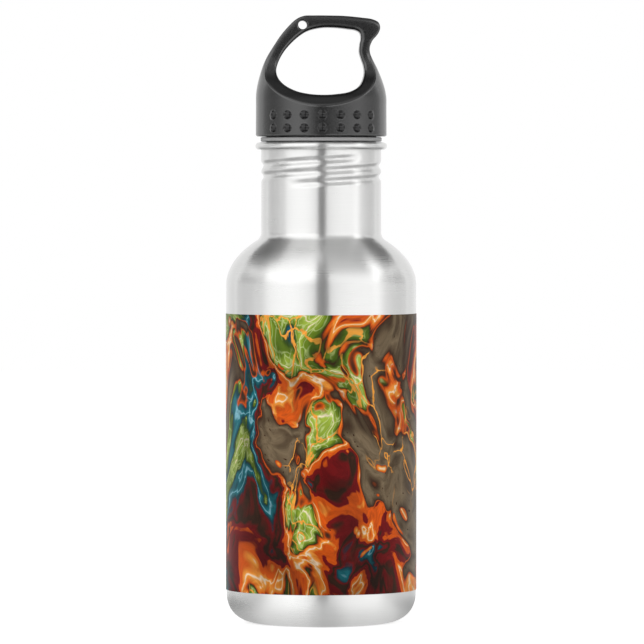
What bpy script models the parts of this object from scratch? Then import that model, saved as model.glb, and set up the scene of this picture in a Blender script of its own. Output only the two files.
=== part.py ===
"""Stainless steel water bottle with a screw-in cap and a carrying loop.

Metres, Z up. The bottle stands on z = 0 with its axis on Z, and the finger
hole in the cap's loop runs along Y. Every turned profile is a list of
(radius, height) points that runs down its outer side.
"""

import math

import bmesh
import bpy
import numpy as np
from mathutils import Matrix, Vector

MM = 0.001
DEG = math.pi / 180

# Fits and facets
GAP = 0.3 * MM  # between pieces that touch
OVERRUN = 3.0 * MM  # how far a cutter reaches past what it cuts
SEGMENTS = 40  # flats round every turned piece
ARC_STEPS = 3  # chords in a rounded corner
SMOOTH_ANGLE = 35 * DEG

# Steel body: one drawn sheet from the foot to the rolled lip
WALL = 0.5 * MM
BODY_RADIUS = 35.0 * MM
BODY_HEIGHT = 124.9 * MM  # floor to the start of the shoulder
NECK_RADIUS = 22.1 * MM
NECK_HEIGHT = 35.1 * MM  # from the shoulder to the top of the lip
SHOULDER_REACH = 51.4 * MM  # level half-axis of the shoulder's ellipse
SHOULDER_RISE = 26.1 * MM  # upright half-axis of the shoulder's ellipse
SHOULDER_STEPS = 7
NECK_FILLET = 3.5 * MM
CURL_RADIUS = 0.825 * MM  # hollow inside the rolled lip
CURL_TURN = 280 * DEG
CURL_STEPS = 8
FOOT_RADIUS = 20.0 * MM  # where the corner reaches the floor
FOOT_WIDTH = 3.5 * MM  # flat ring that the bottle stands on
CORNER_HEIGHT = 12.6 * MM
CORNER_POWER = 2.5  # of the corner's superellipse; 2 would be an ellipse
CORNER_STEPS = 7
RECESS_HEIGHT = 3.2 * MM  # floor to the ledge under the base plate
LEDGE_WIDTH = 3.0 * MM

# Base plate, a shallow dome that sits on the ledge
PLATE_WALL = 0.5 * MM
PLATE_LAP = 2.5 * MM  # how much of the ledge it covers
PLATE_DOME = 1.5 * MM
PLATE_STEPS = 5

# Thread rolled into the neck, two right-hand starts
THREAD_STARTS = 2
THREAD_LEAD = 8.1 * MM
THREAD_DEPTH = 0.85 * MM
THREAD_TURNS = 1.22
THREAD_FADE_TURNS = 0.07
THREAD_HALF_WIDTH = 1.9 * MM
THREAD_DROP = 5.6 * MM  # lip's top to the upper end of each groove
THREAD_END = -47 * DEG
THREAD_ROW = 0.81 * MM  # height of the mesh rows that the grooves are pressed in

# Printed film round the body
FILM = 0.2 * MM
PRINT_DROP = 10.6 * MM  # start of the shoulder to the film's top

# Seal
GASKET_HEIGHT = 1.6 * MM
GASKET_PROUD = 0.2 * MM  # how far it stands out past the plug's flange
GASKET_EDGE = 0.35 * MM

# Cap
SKIRT_WALL = 1.7 * MM  # round the plug's flange
SKIRT_TAPER = 0.25 * MM  # how much narrower the cap is above the skirt
SKIRT_HEIGHT = 11.3 * MM
CAP_HEIGHT = 44.4 * MM
CAVITY_HEIGHT = 9.5 * MM
DIMPLE_RADIUS = 1.65 * MM
DIMPLE_FLOOR_RADIUS = 1.15 * MM
DIMPLE_DEPTH = 0.8 * MM
DIMPLE_FLATS = 10
DIMPLE_COLUMNS = 7
DIMPLE_PITCH = 16 * DEG
DIMPLE_ROWS = (2.9 * MM, 7.7 * MM)  # heights above the skirt's bottom
LANYARD_RADIUS = 1.65 * MM
LANYARD_X = -6.9 * MM
LANYARD_DROP = 3.45 * MM  # loop's top to the hole's centre
LANYARD_FLATS = 16
CURVE_STEPS = 3  # chords between two points of an outline

# Outlines of the loop, chosen by eye: shares of CAP_RADIUS and CAP_HEIGHT
LOOP_SHARES = (
    (-1.015, 0.25), (-0.995, 0.34), (-0.966, 0.44), (-0.862, 0.62), (-0.716, 0.762),
    (-0.616, 0.842), (-0.5, 0.914), (-0.39, 0.968), (-0.27, 0.996), (-0.13, 1.0),
    (0.08, 1.0), (0.35, 0.996), (0.62, 0.982), (0.79, 0.968), (0.885, 0.94),
    (0.905, 0.89), (0.865, 0.842), (0.79, 0.795), (0.747, 0.74), (0.75, 0.69),
    (0.79, 0.638), (0.858, 0.566), (0.922, 0.48), (0.965, 0.4), (0.995, 0.32),
    (1.015, 0.25),
)
HOLE_SHARES = (
    (-0.697, 0.54), (-0.67, 0.605), (-0.59, 0.69), (-0.48, 0.763), (-0.33, 0.835),
    (-0.2, 0.875), (0.0, 0.899), (0.2, 0.9), (0.4, 0.889), (0.535, 0.877),
    (0.592, 0.856), (0.608, 0.815), (0.59, 0.757), (0.583, 0.7), (0.607, 0.65),
    (0.645, 0.59), (0.66, 0.535), (0.64, 0.475), (0.58, 0.415), (0.43, 0.366),
    (0.2, 0.344), (0.0, 0.339), (-0.2, 0.347), (-0.4, 0.372), (-0.58, 0.425),
    (-0.67, 0.483),
)
# Half the loop's thickness, bottom to top, as shares of the same two sizes
SCOOP_SHARES = (
    (1.03, 0.25), (0.93, 0.285), (0.75, 0.33), (0.57, 0.38), (0.42, 0.44),
    (0.315, 0.52), (0.265, 0.62), (0.25, 0.75), (0.25, 1.0),
)

# Plug screwed into the neck
FLANGE_HEIGHT = 2.2 * MM
PLUG_DEPTH = 22.5 * MM
PLUG_WALL = 2.0 * MM
PLUG_EDGE = 1.5 * MM
THREAD_CLEARANCE = 0.5 * MM  # neck's ridges to the plug's barrel
CREST_CLEARANCE = 0.4 * MM  # plug's ridges to the neck's inner wall
PLUG_TURNS = 0.9
PLUG_THREAD_STEPS = 36
RIDGE_ROOT_WIDTH = 2.4 * MM
RIDGE_CREST_WIDTH = 1.0 * MM
RIDGE_SINK = 0.5 * MM  # how deep a ridge is rooted in the barrel

# Sizes that follow from those above
NECK_BORE = NECK_RADIUS - WALL
NECK_SHARE = 1 - (BODY_RADIUS - NECK_RADIUS) / SHOULDER_REACH
NECK_BASE = BODY_HEIGHT + SHOULDER_RISE * math.sqrt(1 - NECK_SHARE**2)
MOUTH_HEIGHT = NECK_BASE + NECK_HEIGHT
GASKET_BASE = MOUTH_HEIGHT + GAP
CAP_BASE = GASKET_BASE + GASKET_HEIGHT + GAP
CAP_TOP = CAP_BASE + CAP_HEIGHT
FLANGE_RADIUS = NECK_RADIUS
FLANGE_BORE = FLANGE_RADIUS + GAP
SKIRT_RADIUS = FLANGE_BORE + SKIRT_WALL
CAP_RADIUS = SKIRT_RADIUS - SKIRT_TAPER
PLUG_RADIUS = NECK_BORE - THREAD_DEPTH - THREAD_CLEARANCE
PLUG_BORE = PLUG_RADIUS - PLUG_WALL
CAVITY_RADIUS = PLUG_BORE + GAP
RIDGE_RADIUS = NECK_BORE - CREST_CLEARANCE
THREAD_SPACING = THREAD_LEAD / THREAD_STARTS
THREAD_TOP = MOUTH_HEIGHT - THREAD_DROP
THREAD_LOW = THREAD_TOP - THREAD_LEAD * THREAD_TURNS


def clear_scene():
    for item in list(bpy.data.objects):
        bpy.data.objects.remove(item, do_unlink=True)


def new_collection(name):
    collection = bpy.data.collections.new(name)
    bpy.context.scene.collection.children.link(collection)
    return collection


def material(name, colour, roughness, metallic):
    made = bpy.data.materials.new(name)
    made.use_nodes = True
    shader = made.node_tree.nodes["Principled BSDF"]
    shader.inputs["Base Color"].default_value = (*colour, 1)
    shader.inputs["Roughness"].default_value = roughness
    shader.inputs["Metallic"].default_value = metallic
    return made


def mark_cutter(item):
    item.hide_render = True
    item.display_type = "WIRE"
    return item


def finish(item, finish_material):
    item.data.materials.clear()
    item.data.materials.append(finish_material)
    item.data.shade_smooth()
    item.data.set_sharp_from_angle(angle=SMOOTH_ANGLE)
    return item


def flatten(item):
    """Replace an object by a mesh object of what its modifiers or its curve make."""
    bpy.context.view_layer.update()
    evaluated = item.evaluated_get(bpy.context.evaluated_depsgraph_get())
    mesh = bpy.data.meshes.new_from_object(evaluated)
    body = bmesh.new()
    body.from_mesh(mesh)
    bmesh.ops.remove_doubles(body, verts=body.verts, dist=GAP / SEGMENTS)
    body.to_mesh(mesh)
    body.free()
    name = item.name
    collection = item.users_collection[0]
    matrix = item.matrix_world.copy()
    bpy.data.objects.remove(item, do_unlink=True)
    flat = bpy.data.objects.new(name, mesh)
    flat.matrix_world = matrix
    collection.objects.link(flat)
    return flat


def arc(centre, radius, start, turn, steps):
    """Points on a circle, from the start angle through the turn."""
    angles = start + np.linspace(0, turn, steps + 1)
    return [Vector((centre[0] + radius * math.cos(a), centre[1] + radius * math.sin(a))) for a in angles]


def rounded(corners):
    """A path through (point, radius) corners, with an arc wherever the radius isn't zero."""
    points = [Vector(point) for point, radius in corners]
    path = []
    for index, (point, radius) in enumerate(corners):
        if not radius:
            path.append(points[index])
            continue
        before = (points[index - 1] - points[index]).normalized()
        after = (points[(index + 1) % len(points)] - points[index]).normalized()
        half = before.angle(after) / 2
        centre = points[index] + (before + after).normalized() * radius / math.sin(half)
        first = points[index] + before * radius / math.tan(half) - centre
        start = math.atan2(first.y, first.x)
        turn = (math.pi - 2 * half) * (1 if before.cross(after) < 0 else -1)
        path += arc(centre, radius, start, turn, ARC_STEPS)
    return path


def sheet(path, thickness):
    """The closed outline of a sheet whose outer face follows the path, downwards."""
    inner = []
    for index, point in enumerate(path):
        steps = [
            (path[b] - path[a]).normalized()
            for a, b in ((index - 1, index), (index, index + 1))
            if a >= 0 and b < len(path)
        ]
        normals = [Vector((-step.y, step.x)) for step in steps]
        mitre = (normals[0] + normals[-1]) / (1 + normals[0].dot(normals[-1]))
        inner.append(point - mitre * thickness)
    return path + inner[::-1]


def turned(name, outline, collection):
    """Turn an outline about Z. One that starts and ends on the axis is left open there."""
    points = [(point[0], 0, point[1]) for point in outline]
    edges = [(index, index + 1) for index in range(len(points) - 1)]
    if outline[0][0] > 0:
        edges.append((len(points) - 1, 0))
    mesh = bpy.data.meshes.new(name)
    mesh.from_pydata(points, edges, [])
    item = bpy.data.objects.new(name, mesh)
    collection.objects.link(item)
    screw = item.modifiers.new("turn", "SCREW")
    screw.axis = "Z"
    screw.steps = SEGMENTS
    screw.render_steps = SEGMENTS
    screw.use_merge_vertices = True
    screw.merge_threshold = GAP / SEGMENTS
    screw.use_smooth_shade = True
    return flatten(item)


def outline_prism(name, outline, corners, half_depth, rotation, collection):
    """Extrude a flat outline: smooth through its points, sharp at the corner ones."""
    curve = bpy.data.curves.new(name, "CURVE")
    curve.dimensions = "2D"
    curve.fill_mode = "BOTH"
    curve.extrude = half_depth
    curve.resolution_u = CURVE_STEPS
    spline = curve.splines.new("BEZIER")
    spline.use_cyclic_u = True
    spline.bezier_points.add(len(outline) - 1)
    for index, (knot, point) in enumerate(zip(spline.bezier_points, outline)):
        kind = "VECTOR" if index in corners else "AUTO"
        knot.co = (*point, 0)
        knot.handle_left_type = kind
        knot.handle_right_type = kind
    item = bpy.data.objects.new(name, curve)
    item.rotation_euler = rotation
    collection.objects.link(item)
    return flatten(item)


def boolean(item, operand, operation):
    cut = item.modifiers.new(operand.name, "BOOLEAN")
    cut.operation = operation
    cut.object = operand
    cut.solver = "EXACT"


def shoulder_radius(height):
    """Radius of the shoulder's ellipse at a height, which starts upright at the wall."""
    share = (height - BODY_HEIGHT) / SHOULDER_RISE
    return BODY_RADIUS - SHOULDER_REACH * (1 - math.sqrt(1 - share**2))


def corner_path():
    """Superellipse from the bottom of the wall to the flat of the foot."""
    width = BODY_RADIUS - FOOT_RADIUS
    path = []
    for angle in np.linspace(0, math.pi / 2, CORNER_STEPS + 1):
        reach = math.cos(angle) ** (2 / CORNER_POWER) if angle < math.pi / 2 else 0
        drop = math.sin(angle) ** (2 / CORNER_POWER)
        path.append(Vector((FOOT_RADIUS + width * reach, CORNER_HEIGHT * (1 - drop))))
    return path


def body_path():
    """Outer face of the steel sheet, from the free end of the lip's curl to the ledge."""
    curl_centre = (NECK_RADIUS + CURL_RADIUS, MOUTH_HEIGHT - WALL - CURL_RADIUS)
    curl = arc(curl_centre, CURL_RADIUS, math.pi - CURL_TURN, CURL_TURN, CURL_STEPS)
    top_row = THREAD_TOP + THREAD_HALF_WIDTH
    low_row = THREAD_LOW - THREAD_HALF_WIDTH
    rows = np.linspace(top_row, low_row, round((top_row - low_row) / THREAD_ROW) + 1)
    neck = [Vector((NECK_RADIUS, height)) for height in rows]
    heights = np.linspace(NECK_BASE, BODY_HEIGHT, SHOULDER_STEPS + 1)
    shoulder = [Vector((shoulder_radius(height), height)) for height in heights]
    junction = rounded([(neck[-1], 0), (shoulder[0], NECK_FILLET), (shoulder[1], 0)])
    foot_inside = FOOT_RADIUS - FOOT_WIDTH
    recess = [
        Vector((foot_inside, 0)),
        Vector((foot_inside, RECESS_HEIGHT)),
        Vector((foot_inside - LEDGE_WIDTH, RECESS_HEIGHT)),
    ]
    return curl + neck + junction[1:-1] + shoulder[1:] + corner_path() + recess


def smooth_step(share):
    share = np.clip(share, 0, 1)
    return share * share * (3 - 2 * share)


def groove_depth(angle, height):
    """How far the thread's grooves press the neck inwards at an angle and height.

    A groove is a raised cosine across its helix. Turns count down from its
    upper end, and both ends fade out.
    """
    depth = np.zeros_like(angle)
    for start in range(THREAD_STARTS):
        first = (angle - THREAD_END) / (2 * math.pi) - start / THREAD_STARTS
        for wrap in range(1, math.ceil(THREAD_TURNS) + 1):
            turn = first % 1 - wrap
            offset = (height - THREAD_TOP - THREAD_LEAD * turn) / THREAD_HALF_WIDTH
            shape = np.where(abs(offset) < 1, (1 + np.cos(math.pi * offset)) / 2, 0)
            fade = smooth_step(np.minimum(-turn, THREAD_TURNS + turn) / THREAD_FADE_TURNS)
            depth = np.maximum(depth, THREAD_DEPTH * shape * fade)
    return depth


def bottle_shell(parts):
    shell = turned("bottle_shell", sheet(body_path(), WALL), parts)
    points = np.zeros(len(shell.data.vertices) * 3)
    shell.data.vertices.foreach_get("co", points)
    points = points.reshape(-1, 3)
    radius = np.hypot(points[:, 0], points[:, 1])
    angle = np.arctan2(points[:, 1], points[:, 0])
    share = 1 - groove_depth(angle, points[:, 2]) / radius
    points[:, :2] *= share[:, None]
    shell.data.vertices.foreach_set("co", points.ravel())
    shell.data.update()
    return shell


def base_plate(parts):
    """A domed disc of sheet, laid on the ledge that the foot turns in to."""
    radius = FOOT_RADIUS - FOOT_WIDTH - LEDGE_WIDTH + PLATE_LAP
    base = RECESS_HEIGHT + WALL + GAP
    ledge_edge = radius - PLATE_LAP
    under = [Vector((radius, base)), Vector((ledge_edge, base))]
    for share in np.linspace(1, 0, PLATE_STEPS + 1)[1:]:
        under.append(Vector((ledge_edge * share, base + PLATE_DOME * (1 - share**2))))
    over = [point + Vector((0, PLATE_WALL)) for point in under]
    return turned("base_plate", over[::-1] + under, parts)


def print_wrap(parts):
    inside = BODY_RADIUS + GAP
    outside = inside + FILM
    top = BODY_HEIGHT - PRINT_DROP
    outline = [(outside, top), (outside, CORNER_HEIGHT), (inside, CORNER_HEIGHT), (inside, top)]
    return turned("print_wrap", outline, parts)


def gasket(parts):
    outside = FLANGE_RADIUS + GASKET_PROUD
    inside = PLUG_RADIUS + GAP
    top = GASKET_BASE + GASKET_HEIGHT
    corners = [
        ((outside, top), GASKET_EDGE),
        ((outside, GASKET_BASE), GASKET_EDGE),
        ((inside, GASKET_BASE), 0),
        ((inside, top), 0),
    ]
    return turned("gasket", rounded(corners), parts)


def plug_ridge(name, start, cutters):
    """One thread of the plug: a trapezoid lofted up a helix, shrunk into the barrel at its ends."""
    rooted = PLUG_RADIUS - RIDGE_SINK
    share = np.linspace(0, 1, PLUG_THREAD_STEPS + 1)
    turn = -PLUG_TURNS * (1 - share)
    angle = THREAD_END + 2 * math.pi * (turn + start / THREAD_STARTS)
    centre = THREAD_TOP - THREAD_SPACING / 2 + THREAD_LEAD * turn
    fade = smooth_step(np.minimum(-turn, PLUG_TURNS + turn) / THREAD_FADE_TURNS)
    crest = rooted + RIDGE_SINK / 2 + (RIDGE_RADIUS - rooted - RIDGE_SINK / 2) * fade
    radii = np.stack([np.full_like(crest, rooted), crest, crest, np.full_like(crest, rooted)], 1)
    offsets = np.array([-RIDGE_ROOT_WIDTH, -RIDGE_CREST_WIDTH, RIDGE_CREST_WIDTH, RIDGE_ROOT_WIDTH]) / 2
    heights = centre[:, None] + offsets
    sides = len(offsets)
    points = np.stack([radii * np.cos(angle)[:, None], radii * np.sin(angle)[:, None], heights], 2)
    faces = [tuple(range(sides)), tuple(sides * PLUG_THREAD_STEPS + k for k in range(sides))[::-1]]
    for step in range(PLUG_THREAD_STEPS):
        for side in range(sides):
            low = sides * step + side
            next_low = sides * step + (side + 1) % sides
            faces.append((next_low, low, low + sides, next_low + sides))
    mesh = bpy.data.meshes.new(name)
    mesh.from_pydata(points.reshape(-1, 3).tolist(), [], faces)
    ridge = bpy.data.objects.new(name, mesh)
    cutters.objects.link(ridge)
    return mark_cutter(ridge)


def cap_plug(parts, cutters):
    """A flanged cup with an outside thread; its mouth opens up into the cap."""
    bottom = CAP_BASE - PLUG_DEPTH
    flange_top = CAP_BASE + FLANGE_HEIGHT
    corners = [
        ((0, bottom + PLUG_WALL), 0),
        ((PLUG_BORE, bottom + PLUG_WALL), PLUG_EDGE),
        ((PLUG_BORE, flange_top), 0),
        ((FLANGE_RADIUS, flange_top), 0),
        ((FLANGE_RADIUS, CAP_BASE), 0),
        ((PLUG_RADIUS, CAP_BASE), 0),
        ((PLUG_RADIUS, bottom), PLUG_EDGE),
        ((0, bottom), 0),
    ]
    plug = turned("cap_plug", rounded(corners), parts)
    for start in range(THREAD_STARTS):
        ridge = plug_ridge("plug_ridge_" + str(start + 1), start, cutters)
        boolean(plug, ridge, "UNION")
    return plug


def skirt_radius(height):
    """Outer radius of the cap at a height above its bottom edge."""
    share = min(height / SKIRT_HEIGHT, 1)
    return SKIRT_RADIUS + (CAP_RADIUS - SKIRT_RADIUS) * share


def dimple_cutter(cutters):
    """Tapered studs that press both dimpled patches of the skirt, front and back."""
    taper = (DIMPLE_RADIUS - DIMPLE_FLOOR_RADIUS) / DIMPLE_DEPTH
    length = DIMPLE_DEPTH + OVERRUN
    body = bmesh.new()
    for side in (-1, 1):
        for column in range(DIMPLE_COLUMNS):
            angle = side * math.pi / 2 + (column - (DIMPLE_COLUMNS - 1) / 2) * DIMPLE_PITCH
            for height in DIMPLE_ROWS:
                reach = skirt_radius(height) - DIMPLE_DEPTH + length / 2
                place = (
                    Matrix.Rotation(angle, 4, "Z")
                    @ Matrix.Translation((reach, 0, CAP_BASE + height))
                    @ Matrix.Rotation(math.pi / 2, 4, "Y")
                )
                bmesh.ops.create_cone(
                    body,
                    cap_ends=True,
                    segments=DIMPLE_FLATS,
                    radius1=DIMPLE_FLOOR_RADIUS,
                    radius2=DIMPLE_FLOOR_RADIUS + taper * length,
                    depth=length,
                    matrix=place,
                )
    mesh = bpy.data.meshes.new("dimples")
    body.to_mesh(mesh)
    body.free()
    cutter = bpy.data.objects.new("dimples", mesh)
    cutters.objects.link(cutter)
    return mark_cutter(cutter)


def lanyard_cutter(cutters):
    body = bmesh.new()
    place = Matrix.Translation((LANYARD_X, 0, CAP_TOP - LANYARD_DROP)) @ Matrix.Rotation(math.pi / 2, 4, "X")
    bmesh.ops.create_cone(
        body,
        cap_ends=True,
        segments=LANYARD_FLATS,
        radius1=LANYARD_RADIUS,
        radius2=LANYARD_RADIUS,
        depth=2 * CAP_RADIUS,
        matrix=place,
    )
    mesh = bpy.data.meshes.new("lanyard_hole")
    body.to_mesh(mesh)
    body.free()
    cutter = bpy.data.objects.new("lanyard_hole", mesh)
    cutters.objects.link(cutter)
    return mark_cutter(cutter)


def cap_shell(parts, cutters):
    """The loop's front outline, cut by a round body and by the scooped side outline, then hollowed."""
    facing_y = (math.pi / 2, 0, 0)
    facing_x = (math.pi / 2, 0, math.pi / 2)
    wide = SKIRT_RADIUS + OVERRUN
    low = CAP_BASE - OVERRUN

    def placed(shares):
        return [(x * CAP_RADIUS, CAP_BASE + z * CAP_HEIGHT) for x, z in shares]

    skirt_top = CAP_BASE + LOOP_SHARES[0][1] * CAP_HEIGHT
    loop = placed(LOOP_SHARES) + [(wide, skirt_top), (wide, low), (-wide, low), (-wide, skirt_top)]
    ends = range(len(LOOP_SHARES), len(loop))
    cap = outline_prism("cap_shell", loop, [0, *ends, ends[0] - 1], wide, facing_y, parts)

    half = placed(SCOOP_SHARES)
    over = CAP_TOP + OVERRUN
    scoop = [(wide, low), (wide, half[0][1])] + half + [(half[-1][0], over)]
    scoop += [(-y, z) for y, z in scoop[::-1]]
    sharp = [0, 1, 2, len(half) + 1, len(half) + 2]
    sharp += [len(scoop) - 1 - index for index in sharp]
    side = outline_prism("scooped_sides", scoop, sharp, wide, facing_x, cutters)
    boolean(cap, mark_cutter(side), "INTERSECT")

    round_corners = [
        (0, over),
        (CAP_RADIUS, over),
        (CAP_RADIUS, CAP_BASE + SKIRT_HEIGHT),
        (SKIRT_RADIUS, CAP_BASE),
        (0, CAP_BASE),
    ]
    boolean(cap, mark_cutter(turned("round_body", round_corners, cutters)), "INTERSECT")

    hole = outline_prism("finger_hole", placed(HOLE_SHARES), [], wide, facing_y, cutters)
    boolean(cap, mark_cutter(hole), "DIFFERENCE")
    boolean(cap, lanyard_cutter(cutters), "DIFFERENCE")
    boolean(cap, dimple_cutter(cutters), "DIFFERENCE")

    flange_seat = CAP_BASE + FLANGE_HEIGHT + GAP
    bore_corners = [
        (0, CAP_BASE + CAVITY_HEIGHT),
        (CAVITY_RADIUS, CAP_BASE + CAVITY_HEIGHT),
        (CAVITY_RADIUS, flange_seat),
        (FLANGE_BORE, flange_seat),
        (FLANGE_BORE, low),
        (0, low),
    ]
    boolean(cap, mark_cutter(turned("cap_bore", bore_corners, cutters)), "DIFFERENCE")
    return cap


def main():
    clear_scene()
    parts = new_collection("water_bottle")
    cutters = new_collection("cutters")

    steel = material("brushed_steel", (0.62, 0.62, 0.61), 0.32, 1)
    ink = material("printed_film", (0.16, 0.27, 0.25), 0.25, 0)
    silicone = material("grey_silicone", (0.3, 0.3, 0.3), 0.6, 0)
    plastic = material("dark_plastic", (0.055, 0.055, 0.057), 0.45, 0)

    finish(bottle_shell(parts), steel)
    finish(base_plate(parts), steel)
    finish(print_wrap(parts), ink)

    lift = bpy.data.objects.new("gasket_lift", None)
    turn = bpy.data.objects.new("cap_turn", None)
    turn.parent = lift
    for empty in (lift, turn):
        parts.objects.link(empty)
    finish(gasket(parts), silicone).parent = lift
    finish(cap_plug(parts, cutters), plastic).parent = turn
    finish(cap_shell(parts, cutters), plastic).parent = turn


main()
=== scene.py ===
"""The looks of a stainless steel water bottle with a screw cap and a carrying loop."""

import math

import bmesh
import bpy
import numpy as np
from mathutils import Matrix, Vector


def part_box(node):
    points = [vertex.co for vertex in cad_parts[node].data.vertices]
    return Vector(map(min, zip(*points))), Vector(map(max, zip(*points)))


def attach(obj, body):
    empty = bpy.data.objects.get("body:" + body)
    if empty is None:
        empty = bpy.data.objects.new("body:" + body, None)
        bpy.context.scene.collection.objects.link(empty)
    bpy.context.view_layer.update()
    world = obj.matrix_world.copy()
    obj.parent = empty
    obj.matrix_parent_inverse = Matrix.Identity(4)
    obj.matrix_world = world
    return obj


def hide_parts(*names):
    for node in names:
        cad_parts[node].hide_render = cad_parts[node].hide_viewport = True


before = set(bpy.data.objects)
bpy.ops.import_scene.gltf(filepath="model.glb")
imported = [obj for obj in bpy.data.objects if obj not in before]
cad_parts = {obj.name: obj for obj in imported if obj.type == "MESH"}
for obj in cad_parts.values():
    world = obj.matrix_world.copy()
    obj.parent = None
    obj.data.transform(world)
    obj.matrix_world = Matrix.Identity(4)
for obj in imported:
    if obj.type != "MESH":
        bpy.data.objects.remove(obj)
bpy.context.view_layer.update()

MM = 0.001

# Bottle shell
# One sheet of stainless steel, drawn and spun: foot, wall, shoulder and neck, with a lip rolled
# outwards over a hollow and a two-start thread rolled into the neck from outside. Satin brushed.

shell_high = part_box("bottle_shell")[1]
WALL = 0.5 * MM
BODY_RADIUS = shell_high[0]
MOUTH_HEIGHT = shell_high[2]
BODY_HEIGHT = 124.9 * MM
NECK_RADIUS = 22.1 * MM
SHOULDER_REACH = 51.4 * MM
SHOULDER_RISE = 26.1 * MM
NECK_FILLET = 3.5 * MM
CURL_RADIUS = 0.825 * MM
CURL_TURN = math.radians(290)
FOOT_RADIUS = 20.0 * MM
FOOT_WIDTH = 3.5 * MM
FOOT_ROUND = 1.0 * MM
CORNER_HEIGHT = 12.6 * MM
CORNER_POWER = 2.5
RECESS_HEIGHT = 3.2 * MM
LEDGE_WIDTH = 3.0 * MM

THREAD_STARTS = 2
THREAD_LEAD = 8.1 * MM
THREAD_DEPTH = 0.85 * MM
THREAD_TURNS = 1.22
THREAD_FADE_TURNS = 0.07
THREAD_HALF_WIDTH = 1.9 * MM
THREAD_TOP = MOUTH_HEIGHT - 5.6 * MM
THREAD_END = math.radians(-47)
SHELL_COLUMNS = 224
CURL_STEPS = 30
THREAD_ROWS = 62
FILLET_STEPS = 10
SHOULDER_STEPS = 40
CORNER_STEPS = 40
BEND_STEPS = 8
MERGE = 0.001 * MM

STEEL_COLOUR = (0.67, 0.67, 0.663)
BRUSH_STRETCH = 60


def arc(centre, radius, start, turn, steps):
    """Points on a circle: centre plus radius times (cos, sin) of evenly spaced angles."""
    angle = start + np.linspace(0, turn, steps + 1)
    return np.stack([centre[0] + radius * np.cos(angle), centre[1] + radius * np.sin(angle)], 1)


def sheet_outline(face, thickness):
    """Closed outline of a sheet: its outer face, then the same points moved inwards by the thickness.

    Each point moves along the mean of its two segments' normals, lengthened to keep the thickness.
    """
    step = np.diff(face, axis=0)
    step /= np.linalg.norm(step, axis=1)[:, None]
    normal = np.stack([-step[:, 1], step[:, 0]], 1)
    before = np.vstack([normal[:1], normal])
    after = np.vstack([normal, normal[-1:]])
    mitre = (before + after) / (1 + (before * after).sum(1))[:, None]
    return np.vstack([face, (face - mitre * thickness)[::-1]])


def grid_faces(rows, columns, close_rows, close_columns):
    """Quads of a grid of numbered points. The way down the rows, crossed with along a row, is outwards."""
    row = np.arange(rows if close_rows else rows - 1)[:, None]
    column = np.arange(columns if close_columns else columns - 1)[None, :]
    next_row = (row + 1) % rows * columns
    next_column = (column + 1) % columns
    row = row * columns
    quads = [row + column, next_row + column, next_row + next_column, row + next_column]
    return np.stack([np.broadcast_to(corner, quads[0].shape) for corner in quads], 2).reshape(-1, 4)


def make_piece(name, points, faces, merge=0.0):
    """A smooth mesh object at the origin; points closer than the merge distance become one."""
    mesh = bpy.data.meshes.new(name)
    mesh.from_pydata(points.reshape(-1, 3).tolist(), [], faces.tolist())
    if merge:
        body = bmesh.new()
        body.from_mesh(mesh)
        bmesh.ops.remove_doubles(body, verts=body.verts, dist=merge)
        body.to_mesh(mesh)
        body.free()
    mesh.shade_smooth()
    piece = bpy.data.objects.new(name, mesh)
    bpy.context.scene.collection.objects.link(piece)
    return piece


def turn_profile(profile, columns, press=None):
    """Carry a profile of (radius, height) round Z; press(angle, height) is taken off the radius."""
    angle = np.linspace(0, 2 * np.pi, columns, endpoint=False)[None, :]
    radius = np.repeat(profile[:, :1], columns, axis=1)
    height = np.repeat(profile[:, 1:], columns, axis=1)
    if press:
        radius = radius - press(np.broadcast_to(angle, radius.shape), height)
    return np.stack([radius * np.cos(angle), radius * np.sin(angle), height], 2)


def turned_piece(name, profile, columns, closed, press=None):
    """A piece turned round Z. A profile that isn't closed ends on the axis, where its points are merged."""
    points = turn_profile(profile, columns, press)
    faces = grid_faces(*points.shape[:2], closed, True)
    return make_piece(name, points, faces, merge=0.0 if closed else MERGE)


def smooth_step(share):
    """3 t squared minus 2 t cubed, with t kept between 0 and 1."""
    share = np.clip(share, 0, 1)
    return share * share * (3 - 2 * share)


def groove_depth(angle, height):
    """Depth of the rolled thread: a raised cosine across each start's helix, faded out at both ends."""
    depth = np.zeros(np.broadcast(angle, height).shape)
    for start in range(THREAD_STARTS):
        first = (angle - THREAD_END) / (2 * np.pi) - start / THREAD_STARTS
        for wrap in range(1, math.ceil(THREAD_TURNS) + 1):
            turn = first % 1 - wrap
            across = np.clip((height - THREAD_TOP - THREAD_LEAD * turn) / THREAD_HALF_WIDTH, -1, 1)
            fade = smooth_step(np.minimum(-turn, THREAD_TURNS + turn) / THREAD_FADE_TURNS)
            depth = np.maximum(depth, THREAD_DEPTH * fade * (1 + np.cos(np.pi * across)) / 2)
    return depth


def shoulder_path():
    """From the neck down to the wall: a fillet tangent to the neck, then the shoulder's quarter ellipse.

    The fillet's centre is where the ellipse, moved out by the fillet's radius, is that far from the neck.
    """
    t = np.linspace(0, np.pi / 2, 2000)
    normal = np.stack([SHOULDER_RISE * np.cos(t), SHOULDER_REACH * np.sin(t)], 1)
    normal /= np.linalg.norm(normal, axis=1)[:, None]
    radius = BODY_RADIUS - SHOULDER_REACH * (1 - np.cos(t))
    flank = np.stack([radius, BODY_HEIGHT + SHOULDER_RISE * np.sin(t)], 1)
    moved = flank + normal * NECK_FILLET
    touch = np.interp(-(NECK_RADIUS + NECK_FILLET), -moved[:, 0], np.arange(len(t)))
    index = int(round(touch))
    turn = math.atan2(-normal[index, 1], -normal[index, 0]) + np.pi
    fillet = arc(moved[index], NECK_FILLET, -np.pi, turn, FILLET_STEPS)
    chosen = np.linspace(index, 0, SHOULDER_STEPS + 1).round().astype(int)
    return np.vstack([fillet, flank[chosen[1:]]])


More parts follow.
